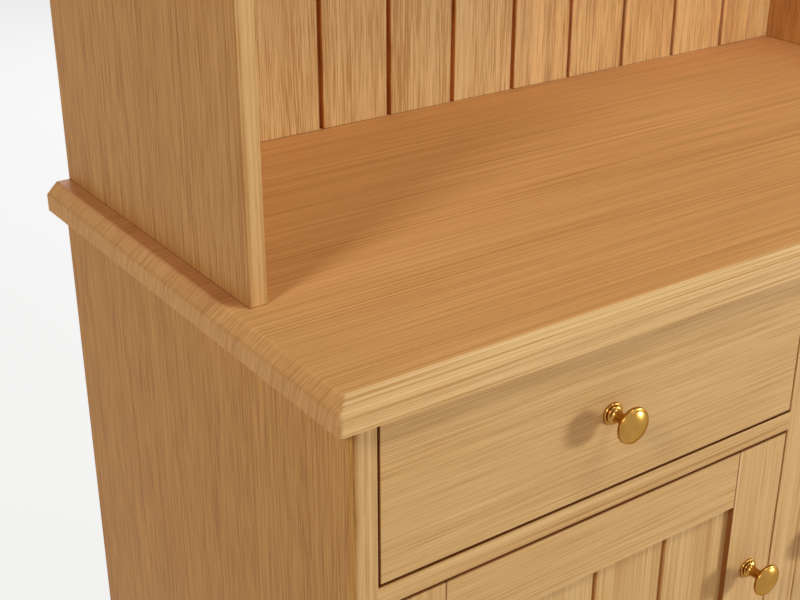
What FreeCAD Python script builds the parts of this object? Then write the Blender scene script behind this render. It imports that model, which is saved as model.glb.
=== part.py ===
import FreeCAD, Part
import math
import os
from FreeCAD import Vector

# A welsh dresser in oak: a base with two drawers over two doors, and an open hutch that stands on it.
# Millimetres, +Z up from the floor, +X to the right as seen from the front, +Y back towards the wall.
# The origin is on the floor, in the middle of the width and of the depth over the knobs.

# Overall sizes
overall_width = 960.0
base_height = 840.0
base_depth = 467.0
hutch_height = 1000.0

# Fits and finishing that every piece shares
front_gap = 2.0
running_clearance = 0.3
snug_clearance = 0.1
pin_clearance = 0.05
edge_round = 1.0
cut_overrun = 5.0
match_tolerance = 0.001

# Worktop
worktop_thickness = 25.0
worktop_front_overhang = 12.0
worktop_end_overhang = 16.0
worktop_bevel = 10.0
worktop_edge_round = 3.0

# Base carcass
side_thickness = 20.0
side_front_round = 6.0
centre_stile_width = 38.0
centre_stile_thickness = 20.0
partition_thickness = 20.0
partition_housing = 6.0
mid_rail_height = 17.5
mid_rail_depth = 45.0
mid_rail_tenon_length = 8.0
mid_rail_tenon_thickness = 8.0
mid_rail_tenon_height_share = 0.5
drawer_opening_height = 137.5
plinth_height = 85.0
plinth_thickness = 20.0
plinth_arch_rise = 24.0
plinth_arch_margin = 110.0
floor_thickness = 18.0
floor_housing = 6.0
base_back_thickness = 6.0
base_back_rebate = 9.0

# Drawers and what they run on
drawer_front_thickness = 20.0
drawer_side_thickness = 12.0
drawer_back_thickness = 12.0
drawer_bottom_thickness = 6.0
drawer_length = 430.0
drawer_lap = 12.0
drawer_groove_depth = 6.0
drawer_back_housing = 4.0
drawer_bottom_lift = 10.0
drawer_top_clearance = 6.0
runner_height = 16.0
runner_width = 16.0
guide_height = 24.0
stop_width = 30.0
stop_depth = 12.0
stop_height = 7.0
stop_place_share = 0.28

# Doors
door_thickness = 20.0
door_stile_width = 57.0
door_top_rail_height = 55.0
door_bottom_rail_height = 70.0
door_groove_depth = 10.0
door_panel_float = 1.0
door_panel_thickness = 9.0
door_panel_setback = 5.0
door_board_pitch = 75.0
door_board_groove_width = 4.5
door_board_groove_depth = 4.0
door_knob_drop = 130.0
tongue_thickness = 2.0
tongue_length = 4.0

# Butt hinges
hinge_height = 60.0
hinge_leaf_width = 18.0
hinge_leaf_thickness = 2.0
hinge_knuckle_radius = 3.6
hinge_knuckle_count = 3
hinge_pin_radius = 1.6
hinge_pin_head_radius = 2.8
hinge_pin_head_height = 1.6
hinge_end_distance = 95.0
hinge_screw_place_share = 0.58
hinge_screw_spacing_share = 0.33
hinge_screw_length = 14.0

# Screws with countersunk heads
screw_head_radius = 3.0
screw_head_height = 1.8
screw_shank_radius = 1.5
screw_slot_width = 0.8
screw_slot_depth = 0.7

# Brass knobs and the screw that holds each from inside
knob_rose_radius = 9.4
knob_rose_height = 2.0
knob_bead_radius = 7.6
knob_bead_height = 2.2
knob_roll_inset = 1.3
knob_roll_share = 0.4
knob_neck_radius = 4.3
knob_neck_height = 13.2
knob_waist_share = 0.4
knob_flare_radius = 7.2
knob_head_radius = 15.0
knob_head_back_height = 3.0
knob_bulge_share = 0.62
knob_rim_height = 3.8
knob_rim_inset = 0.9
knob_dome_height = 3.8
knob_bore_depth = 14.0
knob_screw_radius = 2.0
knob_screw_engagement = 11.0
knob_screw_head_radius = 4.5
knob_screw_head_height = 2.4

# Magnetic catches
catch_width = 46.0
catch_height = 13.0
strike_width = 40.0
strike_height = 11.0
strike_thickness = 1.0

# Cupboard shelves
cupboard_shelf_thickness = 18.0
cupboard_shelf_height = 285.0
cupboard_shelf_setback = 60.0
cupboard_shelf_clearance = 1.0
shelf_pin_radius = 2.5
shelf_pin_length = 18.0
shelf_pin_hole_depth = 9.0
shelf_pin_collar_radius = 4.0
shelf_pin_collar_thickness = 1.5
shelf_pin_inset = 50.0

# Hutch
hutch_end_inset = 22.0
hutch_front_setback = 140.0
hutch_side_thickness = 15.0
hutch_top_thickness = 18.0
hutch_shelf_thickness = 18.0
hutch_shelf_housing = 5.0
hutch_shelf_setback = 152.0
hutch_lower_bay_height = 330.0
hutch_middle_bay_height = 290.0
plate_groove_width = 10.0
plate_groove_depth = 3.0
plate_groove_distance = 55.0
frieze_height = 92.0
frieze_thickness = 18.0
frieze_arch_rise = 20.0
frieze_arch_margin = 70.0
back_board_thickness = 10.0
back_board_pitch = 80.0
back_board_margin = 3.0
back_board_rebate = 7.0
back_board_groove_width = 5.0
back_board_groove_depth = 5.0

# Cornice
cornice_height = 55.0
cornice_projection = 22.0
cornice_foot_projection = 5.0
cornice_foot_height = 8.0
cornice_step = 3.0
cornice_fillet_height = 13.0
cove_share = 0.29

# Steel plates that tie the hutch to the worktop
fixing_plate_width = 30.0
fixing_plate_height = 44.0
fixing_plate_thickness = 2.0
fixing_board_index = 1
fixing_screw_inset = 8.0
fixing_screw_length = 8.0

# Places that follow from the sizes above
knob_foot_reach = knob_rose_height + knob_bead_height + knob_neck_height
knob_reach = knob_foot_reach + knob_head_back_height + knob_rim_height + knob_dome_height
front_y = (knob_reach - base_depth) / 2
back_y = (knob_reach + base_depth) / 2
side_outer_x = overall_width / 2 - worktop_end_overhang
side_inner_x = side_outer_x - side_thickness
stile_half = centre_stile_width / 2
partition_half = partition_thickness / 2
worktop_under_z = base_height - worktop_thickness
mid_rail_top_z = worktop_under_z - drawer_opening_height
mid_rail_under_z = mid_rail_top_z - mid_rail_height
base_back_y = back_y - base_back_thickness
mid_rail_back_y = front_y + mid_rail_depth

hutch_outer_x = overall_width / 2 - hutch_end_inset
hutch_inner_x = hutch_outer_x - hutch_side_thickness
hutch_front_y = front_y + hutch_front_setback
hutch_top_z = base_height + hutch_height
hutch_side_top_z = hutch_top_z - hutch_top_thickness
board_face_y = back_y - back_board_thickness
lower_shelf_z = base_height + hutch_lower_bay_height
upper_shelf_z = lower_shelf_z + hutch_shelf_thickness + hutch_middle_bay_height
boards_half = hutch_inner_x - back_board_margin
back_board_count = max(1, round(2 * boards_half / back_board_pitch))
true_board_pitch = 2 * boards_half / back_board_count

# The left drawer and door, in the left bay. The right ones are their mirror images.
leaf_left_x = -side_inner_x + front_gap
leaf_right_x = -stile_half - front_gap
bay_middle_x = (leaf_left_x + leaf_right_x) / 2
drawer_top_z = worktop_under_z - front_gap
drawer_under_z = mid_rail_top_z + front_gap
door_top_z = mid_rail_under_z - front_gap
door_under_z = plinth_height + front_gap
hinge_x = -side_inner_x + front_gap / 2
hinge_y = front_y - hinge_knuckle_radius - running_clearance
hinge_middles_z = (door_under_z + hinge_end_distance, door_top_z - hinge_end_distance)
lock_stile_middle_x = leaf_right_x - door_stile_width / 2

X_AXIS = Vector(1, 0, 0)
Y_AXIS = Vector(0, 1, 0)
Z_AXIS = Vector(0, 0, 1)


def box(x_ends, y_ends, z_ends):
    """A box between two values on each axis, given in either order."""
    low = Vector(min(x_ends), min(y_ends), min(z_ends))
    high = Vector(max(x_ends), max(y_ends), max(z_ends))
    size = high - low
    return Part.makeBox(size.x, size.y, size.z, low)


def mirrored(shape):
    """The right-hand twin of a left-hand piece."""
    return shape.mirror(Vector(0, 0, 0), X_AXIS)


def edges_on(shape, **planes):
    """The edges whose ends all lie on the given planes, such as x=0 and z=10."""
    found = []
    for edge in shape.Edges:
        ends = [vertex.Point for vertex in edge.Vertexes]
        misses = [abs(getattr(end, axis) - value) for end in ends for axis, value in planes.items()]
        if max(misses) < match_tolerance:
            found.append(edge)
    return found


def edges_joining(shape, start, end):
    """The edges that run between two corners."""
    found = []
    for edge in shape.Edges:
        points = [vertex.Point for vertex in edge.Vertexes]
        misses = [min((point - corner).Length for point in points) for corner in (start, end)]
        if max(misses) < match_tolerance:
            found.append(edge)
    return found


def rounded(shape, radius, *places):
    """The shape with the edges at the given places rounded."""
    edges = [edge for place in places for edge in edges_on(shape, **place)]
    return shape.makeFillet(radius, edges)


def prism(points, height_vector):
    """A solid swept from a closed outline along a vector."""
    return Part.Face(Part.makePolygon(points + points[:1])).extrude(height_vector)


def arch_cutter(half_width, rise, z, y_ends):
    """The space under a flat arch that springs from height z."""
    left = Vector(-half_width, y_ends[0], z)
    right = Vector(half_width, y_ends[0], z)
    crown = Vector(0, y_ends[0], z + rise)
    below_right = right - Z_AXIS * cut_overrun
    below_left = left - Z_AXIS * cut_overrun
    edges = [
        Part.Arc(left, crown, right).toShape(),
        Part.LineSegment(right, below_right).toShape(),
        Part.LineSegment(below_right, below_left).toShape(),
        Part.LineSegment(below_left, left).toShape(),
    ]
    return Part.Face(Part.Wire(edges)).extrude(Y_AXIS * (y_ends[1] - y_ends[0]))


def tongued_boards(x_ends, joints, face_y, thickness, z_ends, groove_width, groove_depth):
    """Upright boards that cover x_ends, tongued together, with a square groove in front of each joint."""
    tongue_y = face_y + groove_depth + (thickness - groove_depth - tongue_thickness) / 2
    tongue_end_y = tongue_y + tongue_thickness
    step_y = face_y + groove_depth
    rear_y = face_y + thickness
    breaks = [x_ends[0]] + list(joints) + [x_ends[1]]
    boards = []
    for index, (left, right) in enumerate(zip(breaks, breaks[1:])):
        has_left = index > 0
        has_right = index < len(joints)
        face_left = left + groove_width / 2 if has_left else left
        face_right = right - groove_width / 2 if has_right else right
        outline = [(face_left, face_y), (face_right, face_y)]
        if has_right:
            tip = right + tongue_length
            outline += [(face_right, step_y), (right, step_y), (right, tongue_y), (tip, tongue_y)]
            outline += [(tip, tongue_end_y), (right, tongue_end_y)]
        outline += [(right, rear_y), (left, rear_y)]
        if has_left:
            slot = left + tongue_length + snug_clearance
            slot_y = tongue_y - snug_clearance
            slot_end_y = tongue_end_y + snug_clearance
            outline += [(left, slot_end_y), (slot, slot_end_y), (slot, slot_y), (left, slot_y)]
            outline += [(left, step_y), (face_left, step_y)]
        points = [Vector(x, y, z_ends[0]) for x, y in outline]
        boards.append(prism(points, Z_AXIS * (z_ends[1] - z_ends[0])))
    return boards


def screw(point, direction, length, clearance):
    """A countersunk screw, or with a clearance the hole for it, going in at a point along a direction."""
    head_top = screw_head_radius + clearance
    shank = screw_shank_radius + clearance
    body = Part.makeCone(head_top, shank, screw_head_height)
    body = body.fuse(Part.makeCylinder(shank, length + clearance))
    if clearance > 0:
        body = body.fuse(Part.makeCylinder(head_top, cut_overrun, -Z_AXIS * cut_overrun))
    else:
        slot_half = screw_slot_width / 2
        slot = box((-screw_head_radius, screw_head_radius), (-slot_half, slot_half), (0, screw_slot_depth))
        body = body.cut(slot)
    body = body.removeSplitter()
    body.Placement = FreeCAD.Placement(point, FreeCAD.Rotation(Z_AXIS, direction))
    return body


def cut_screw_holes(shape, places, length):
    """The shape with a hole for a screw at each place, a point and a direction."""
    for point, direction in places:
        shape = shape.cut(screw(point, direction, length, snug_clearance))
    return shape


def base_side():
    """The left side board, with its joints cut and its outer front edge rounded."""
    side = box((-side_outer_x, -side_inner_x), (front_y, back_y), (0, worktop_under_z))
    side = rounded(side, side_front_round, {"x": -side_outer_x, "y": front_y})
    rebate_x = -side_inner_x - base_back_rebate
    side = side.cut(box((rebate_x, -side_inner_x), (base_back_y, back_y), (0, worktop_under_z)))
    housing_x = -side_inner_x - floor_housing
    floor_under_z = plinth_height - floor_thickness
    floor_front_y = front_y + plinth_thickness
    side = side.cut(box((housing_x, -side_inner_x), (floor_front_y, back_y), (floor_under_z, plinth_height)))
    side = side.cut(rail_tenon(-side_inner_x, -side_inner_x - mid_rail_tenon_length))
    for middle_z in hinge_middles_z:
        side = side.cut(leaf_recess(-1, middle_z))
    side = cut_screw_holes(side, leaf_screw_places(-1), hinge_screw_length)
    for hole in shelf_pin_holes(-side_inner_x, -X_AXIS):
        side = side.cut(hole)
    return side


def rail_tenon(x_start, x_end):
    """The stub tenon on a mid rail's end, which is also the mortise for it."""
    middle_z = (mid_rail_top_z + mid_rail_under_z) / 2
    half_height = mid_rail_height * mid_rail_tenon_height_share / 2
    start_y = front_y + (centre_stile_thickness - mid_rail_tenon_thickness) / 2
    y_ends = (start_y, start_y + mid_rail_tenon_thickness)
    return box((x_start, x_end), y_ends, (middle_z - half_height, middle_z + half_height))


def mid_rail():
    """The rail between the left drawer and the left door."""
    rail = box((-side_inner_x, -stile_half), (front_y, mid_rail_back_y), (mid_rail_under_z, mid_rail_top_z))
    rail = rail.fuse(rail_tenon(-side_inner_x, -side_inner_x - mid_rail_tenon_length))
    return rail.fuse(rail_tenon(-stile_half, -stile_half + mid_rail_tenon_length))


def centre_stile():
    """The upright between the bays, housed over the partition behind it."""
    stile_back_y = front_y + centre_stile_thickness
    stile = box((-stile_half, stile_half), (front_y, stile_back_y), (plinth_height, worktop_under_z))
    housing_y = stile_back_y - partition_housing
    z_ends = (plinth_height, worktop_under_z)
    stile = stile.cut(box((-partition_half, partition_half), (housing_y, stile_back_y), z_ends))
    for end in (-stile_half, stile_half):
        inner = end - math.copysign(mid_rail_tenon_length, end)
        stile = stile.cut(rail_tenon(end, inner))
    return stile


def centre_partition():
    """The board that divides the base behind the centre stile."""
    partition_front_y = front_y + centre_stile_thickness - partition_housing
    y_ends = (partition_front_y, base_back_y)
    partition = box((-partition_half, partition_half), y_ends, (plinth_height, worktop_under_z))
    for hole in shelf_pin_holes(-partition_half, X_AXIS):
        partition = partition.cut(hole).cut(mirrored(hole))
    return partition


def base_floor():
    """The cupboards' floor, housed in both sides and butted to the plinth."""
    x_end = side_inner_x + floor_housing
    y_ends = (front_y + plinth_thickness, base_back_y)
    return box((-x_end, x_end), y_ends, (plinth_height - floor_thickness, plinth_height))


def plinth():
    """The board under the doors, arched at its foot."""
    y_ends = (front_y, front_y + plinth_thickness)
    board = box((-side_inner_x, side_inner_x), y_ends, (0, plinth_height))
    return board.cut(arch_cutter(side_inner_x - plinth_arch_margin, plinth_arch_rise, 0, y_ends))


def base_back_panel():
    """The thin back of the base, in the rebates of the sides."""
    x_end = side_inner_x + base_back_rebate
    return box((-x_end, x_end), (base_back_y, back_y), (plinth_height - floor_thickness, worktop_under_z))


def worktop():
    """The worktop, bevelled along its front and ends, with the recesses for the fixing plates."""
    half = overall_width / 2
    worktop_front_y = front_y - worktop_front_overhang
    bevel_z = base_height - worktop_bevel
    plan = [(-half, worktop_front_y), (half, worktop_front_y), (half, back_y), (-half, back_y)]
    inset = worktop_bevel
    top_plan = [
        (-half + inset, worktop_front_y + inset),
        (half - inset, worktop_front_y + inset),
        (half - inset, back_y),
        (-half + inset, back_y),
    ]
    wires = []
    for z, outline in ((bevel_z, plan), (base_height, top_plan)):
        points = [Vector(x, y, z) for x, y in outline]
        wires.append(Part.makePolygon(points + points[:1]))
    bevelled = Part.makeLoft(wires, True, True)
    slab = box((-half, half), (worktop_front_y, back_y), (worktop_under_z, bevel_z)).fuse(bevelled)
    slab = slab.removeSplitter()
    soft_edges = edges_on(slab, z=base_height, y=worktop_front_y + inset)
    soft_edges += edges_on(slab, z=bevel_z, y=worktop_front_y)
    for end, top_end in ((-half, -half + inset), (half, half - inset)):
        soft_edges += edges_on(slab, z=base_height, x=top_end) + edges_on(slab, z=bevel_z, x=end)
        soft_edges += edges_on(slab, x=end, y=worktop_front_y)
        soft_edges += edges_joining(slab, Vector(end, worktop_front_y, bevel_z),
                                    Vector(top_end, worktop_front_y + inset, base_height))
    slab = slab.makeFillet(worktop_edge_round, soft_edges)
    for plate_x in fixing_plate_middles():
        slab = slab.cut(fixing_plate(plate_x))
    return cut_screw_holes(slab, fixing_screw_places(), fixing_screw_length)


def drawer_runners():
    """Two plain runners on the sides and two with a guide on the partition."""
    y_ends = (mid_rail_back_y, base_back_y)
    z_ends = (mid_rail_top_z - runner_height, mid_rail_top_z)
    outer = box((-side_inner_x, -side_inner_x + runner_width), y_ends, z_ends)
    inner = box((-partition_half, -stile_half - runner_width), y_ends, z_ends)
    guide = box((-partition_half, -stile_half), y_ends, (mid_rail_top_z, mid_rail_top_z + guide_height))
    inner = inner.fuse(guide).removeSplitter()
    return Part.makeCompound([outer, inner, mirrored(inner), mirrored(outer)])


def drawer_stops():
    """Blocks on the mid rails that stop each drawer with its front flush."""
    start_y = front_y + drawer_front_thickness + running_clearance
    offset = (leaf_right_x - leaf_left_x) * stop_place_share
    blocks = []
    for middle_x in (bay_middle_x - offset, bay_middle_x + offset):
        x_ends = (middle_x - stop_width / 2, middle_x + stop_width / 2)
        z_ends = (mid_rail_top_z, mid_rail_top_z + stop_height)
        block = box(x_ends, (start_y, start_y + stop_depth), z_ends)
        blocks += [block, mirrored(block)]
    return Part.makeCompound(blocks)


def cupboard_shelf():
    """The loose shelf of the left cupboard."""
    x_ends = (-side_inner_x + cupboard_shelf_clearance, -partition_half - cupboard_shelf_clearance)
    y_ends = (front_y + cupboard_shelf_setback, base_back_y - cupboard_shelf_clearance)
    z = plinth_height + cupboard_shelf_height
    shelf = box(x_ends, y_ends, (z, z + cupboard_shelf_thickness))
    return rounded(shelf, edge_round, {"y": y_ends[0], "z": z + cupboard_shelf_thickness})


def shelf_pin_points(wall_x):
    """Where the pins of the left shelf enter a wall."""
    z = plinth_height + cupboard_shelf_height - shelf_pin_radius - snug_clearance
    front = front_y + cupboard_shelf_setback + shelf_pin_inset
    rear = base_back_y - shelf_pin_inset
    return [Vector(wall_x, front, z), Vector(wall_x, rear, z)]


def shelf_pin_holes(wall_x, inward):
    """The holes for the left shelf's pins in one wall, bored along the inward direction."""
    radius = shelf_pin_radius + pin_clearance
    depth = shelf_pin_hole_depth + snug_clearance
    return [Part.makeCylinder(radius, depth, point, inward) for point in shelf_pin_points(wall_x)]


def shelf_pins():
    """Eight pins with collars, four under each shelf."""
    pins = []
    for wall_x, inward in ((-side_inner_x, -X_AXIS), (-partition_half, X_AXIS)):
        for point in shelf_pin_points(wall_x):
            pin_end = point + inward * shelf_pin_hole_depth
            pin = Part.makeCylinder(shelf_pin_radius, shelf_pin_length, pin_end, -inward)
            seat = point - inward * snug_clearance
            collar = Part.makeCylinder(shelf_pin_collar_radius, shelf_pin_collar_thickness, seat, -inward)
            below_shelf = box(
                (wall_x - shelf_pin_length, wall_x + shelf_pin_length),
                (point.y - shelf_pin_length, point.y + shelf_pin_length),
                (point.z - shelf_pin_length, point.z + shelf_pin_radius),
            )
            pin = pin.fuse(collar).common(below_shelf).removeSplitter()
            pins += [pin, mirrored(pin)]
    return Part.makeCompound(pins)


def door_catches():
    """A magnetic catch under each mid rail, behind the door's lock stile."""
    start_y = front_y + door_thickness + strike_thickness + running_clearance
    x_ends = (lock_stile_middle_x - catch_width / 2, lock_stile_middle_x + catch_width / 2)
    catch = box(x_ends, (start_y, mid_rail_back_y), (mid_rail_under_z - catch_height, mid_rail_under_z))
    return Part.makeCompound([catch, mirrored(catch)])


def door_strike():
    """The steel plate on the left door that the catch holds."""
    start_y = front_y + door_thickness
    x_ends = (lock_stile_middle_x - strike_width / 2, lock_stile_middle_x + strike_width / 2)
    top_z = mid_rail_under_z - (catch_height - strike_height) / 2 - front_gap
    return box(x_ends, (start_y, start_y + strike_thickness), (top_z - strike_height, top_z))


def leaf_faces(direction):
    """The two faces, in x, of a left hinge's leaf: direction -1 is the fixed leaf and 1 the door's."""
    near = hinge_x + direction * front_gap / 2
    return near, near + direction * hinge_leaf_thickness


def leaf_recess(direction, middle_z):
    """The recess in the wood that a hinge leaf fills."""
    z_ends = (middle_z - hinge_height / 2, middle_z + hinge_height / 2)
    return box(leaf_faces(direction), (front_y - cut_overrun, front_y + hinge_leaf_width), z_ends)


def leaf_screw_places(direction):
    """Where the screws of the left hinges' leaves go in, and which way."""
    near = leaf_faces(direction)[0]
    y = front_y + hinge_leaf_width * hinge_screw_place_share
    step = hinge_height * hinge_screw_spacing_share
    places = []
    for middle_z in hinge_middles_z:
        for row in (-1, 0, 1):
            places.append((Vector(near, y, middle_z + row * step), X_AXIS * direction))
    return places


def knuckle_spans(middle_z):
    """The ends, in z, of a hinge's knuckles from the bottom up."""
    length = hinge_height / hinge_knuckle_count
    start = middle_z - hinge_height / 2
    return [(start + length * row, start + length * (row + 1)) for row in range(hinge_knuckle_count)]


def hinge_leaf(direction, middle_z):
    """One leaf of a left hinge. The fixed leaf carries the odd knuckles, the door's leaf those between."""
    z_ends = (middle_z - hinge_height / 2, middle_z + hinge_height / 2)
    leaf = box(leaf_faces(direction), (hinge_y, front_y + hinge_leaf_width), z_ends)
    first_own = 0 if direction < 0 else 1
    half_gap = running_clearance / 2
    for row, (low, high) in enumerate(knuckle_spans(middle_z)):
        if row % 2 == first_own:
            low_end = low if row == 0 else low + half_gap
            high_end = high if row == hinge_knuckle_count - 1 else high - half_gap
            start = Vector(hinge_x, hinge_y, low_end)
            leaf = leaf.fuse(Part.makeCylinder(hinge_knuckle_radius, high_end - low_end, start))
        else:
            start = Vector(hinge_x, hinge_y, low - half_gap)
            room = hinge_knuckle_radius + running_clearance
            leaf = leaf.cut(Part.makeCylinder(room, high - low + running_clearance, start))
    bore_start = Vector(hinge_x, hinge_y, z_ends[0] - cut_overrun)
    bore_length = hinge_height + 2 * cut_overrun
    leaf = leaf.cut(Part.makeCylinder(hinge_pin_radius + pin_clearance, bore_length, bore_start))
    return leaf.removeSplitter()


def hinge_leaves(direction):
    """Both leaves of one kind on the left door's hinges, with their screw holes."""
    leaves = []
    for middle_z in hinge_middles_z:
        leaf = hinge_leaf(direction, middle_z)
        leaves.append(cut_screw_holes(leaf, leaf_screw_places(direction), hinge_screw_length))
    return leaves


def hinge_pins():
    """The four hinge pins, each with a button at both ends."""
    pins = []
    for middle_z in hinge_middles_z:
        low = Vector(hinge_x, hinge_y, middle_z - hinge_height / 2)
        high = low + Z_AXIS * hinge_height
        pin = Part.makeCylinder(hinge_pin_radius, hinge_height, low)
        pin = pin.fuse(Part.makeCylinder(hinge_pin_head_radius, hinge_pin_head_height, high))
        pin = pin.fuse(Part.makeCylinder(hinge_pin_head_radius, hinge_pin_head_height, low, -Z_AXIS))
        pin = pin.removeSplitter()
        pins += [pin, mirrored(pin)]
    return Part.makeCompound(pins)


def knob_point(radius, reach):
    """A point of the knob's outline, at a radius from its axis and a reach from the wood."""
    return Vector(radius, -reach, 0)


def knob_line(start, end):
    """A straight run of the knob's outline."""
    return Part.LineSegment(knob_point(*start), knob_point(*end)).toShape()


def knob_arc(start, middle, end):
    """A rounded run of the knob's outline."""
    return Part.Arc(knob_point(*start), knob_point(*middle), knob_point(*end)).toShape()


def knob_roll(radius, low, height):
    """An upright step of the outline that rolls over inwards at its top, as a line and an arc."""
    turn = low + height * knob_roll_share
    top = low + height
    over = (radius - knob_roll_inset * cove_share, top - (top - turn) * cove_share)
    upright = knob_line((radius, low), (radius, turn))
    return [upright, knob_arc((radius, turn), over, (radius - knob_roll_inset, top))]


def turned_knob():
    """The brass knob, turned about the Y axis: a rose, a bead, a waisted neck and a low domed head."""
    neck_reach = knob_rose_height + knob_bead_height
    head_reach = neck_reach + knob_neck_height
    rim_reach = head_reach + knob_head_back_height
    dome_reach = rim_reach + knob_rim_height
    rim_radius = knob_head_radius - knob_rim_inset
    dome_radius = (rim_radius ** 2 + knob_dome_height ** 2) / (2 * knob_dome_height)
    half_angle = math.asin(rim_radius / dome_radius) / 2
    neck_start = (knob_bead_radius - knob_roll_inset, neck_reach)
    waist = (knob_neck_radius, neck_reach + knob_neck_height * knob_waist_share)
    flare = (knob_flare_radius, head_reach)
    bulge_radius = knob_flare_radius + (rim_radius - knob_flare_radius) * knob_bulge_share
    bulge = (bulge_radius, head_reach + knob_head_back_height * cove_share)
    rim_back = (rim_radius, rim_reach)
    rim = (knob_head_radius, rim_reach + knob_rim_height / 2)
    rim_front = (rim_radius, dome_reach)
    dome_middle = (dome_radius * math.sin(half_angle), knob_reach - dome_radius * (1 - math.cos(half_angle)))
    edges = [knob_line((0, 0), (knob_rose_radius, 0))]
    edges += knob_roll(knob_rose_radius, 0, knob_rose_height)
    rose_top = (knob_rose_radius - knob_roll_inset, knob_rose_height)
    edges.append(knob_line(rose_top, (knob_bead_radius, knob_rose_height)))
    edges += knob_roll(knob_bead_radius, knob_rose_height, knob_bead_height)
    edges += [
        knob_arc(neck_start, waist, flare),
        knob_arc(flare, bulge, rim_back),
        knob_arc(rim_back, rim, rim_front),
        knob_arc(rim_front, dome_middle, (0, knob_reach)),
        knob_line((0, knob_reach), (0, 0)),
    ]
    turned = Part.Face(Part.Wire(edges)).revolve(Vector(0, 0, 0), Y_AXIS, 360)
    bore_radius = knob_screw_radius + pin_clearance
    return turned.cut(Part.makeCylinder(bore_radius, knob_bore_depth, Vector(0, 0, 0), -Y_AXIS))


def knob(x, z):
    """A knob on a front face, and the screw that holds it through the wood."""
    turned = turned_knob()
    turned.translate(Vector(x, front_y, z))
    inside = Vector(x, front_y + drawer_front_thickness, z)
    shank_length = drawer_front_thickness + knob_screw_engagement
    bolt = Part.makeCylinder(knob_screw_radius, shank_length, inside, -Y_AXIS)
    bolt = bolt.fuse(Part.makeCylinder(knob_screw_head_radius, knob_screw_head_height, inside, Y_AXIS))
    return Part.makeCompound([turned, bolt.removeSplitter()])


def knob_hole(x, z):
    """The hole through a front for a knob's screw."""
    radius = knob_screw_radius + snug_clearance
    start = Vector(x, front_y - cut_overrun, z)
    return Part.makeCylinder(radius, drawer_front_thickness + 2 * cut_overrun, start, Y_AXIS)


def drawer_pieces():
    """The left drawer, as a dictionary of its pieces."""
    knob_z = (drawer_top_z + drawer_under_z) / 2
    front_back_y = front_y + drawer_front_thickness
    lap_y = front_back_y - drawer_lap
    rear_y = front_y + drawer_length
    side_under_z = mid_rail_top_z + running_clearance
    side_top_z = worktop_under_z - drawer_top_clearance
    bottom_z = mid_rail_top_z + drawer_bottom_lift
    bottom_top_z = bottom_z + drawer_bottom_thickness
    inner_left = leaf_left_x + drawer_side_thickness
    inner_right = leaf_right_x - drawer_side_thickness
    bottom_x_ends = (inner_left - drawer_groove_depth, inner_right + drawer_groove_depth)
    bottom_y_ends = (front_back_y - drawer_groove_depth, rear_y)
    bottom = box(bottom_x_ends, bottom_y_ends, (bottom_z, bottom_top_z))

    front = box((leaf_left_x, leaf_right_x), (front_y, front_back_y), (drawer_under_z, drawer_top_z))
    front = rounded(front, edge_round, {"y": front_y})
    for ends in ((leaf_left_x, inner_left), (inner_right, leaf_right_x)):
        front = front.cut(box(ends, (lap_y, front_back_y), (drawer_under_z, drawer_top_z)))
    front = front.cut(bottom).cut(knob_hole(bay_middle_x, knob_z))

    back_y_ends = (rear_y - drawer_back_thickness, rear_y)
    back_x_ends = (inner_left - drawer_back_housing, inner_right + drawer_back_housing)
    back = box(back_x_ends, back_y_ends, (bottom_top_z, side_top_z))
    outer = box((leaf_left_x, inner_left), (lap_y, rear_y), (side_under_z, side_top_z))
    inner = box((inner_right, leaf_right_x), (lap_y, rear_y), (side_under_z, side_top_z))
    return {
        "front": front,
        "outer_side": outer.cut(bottom).cut(back),
        "inner_side": inner.cut(bottom).cut(back),
        "back": back,
        "bottom": bottom,
        "knob": knob(bay_middle_x, knob_z),
    }


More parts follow.
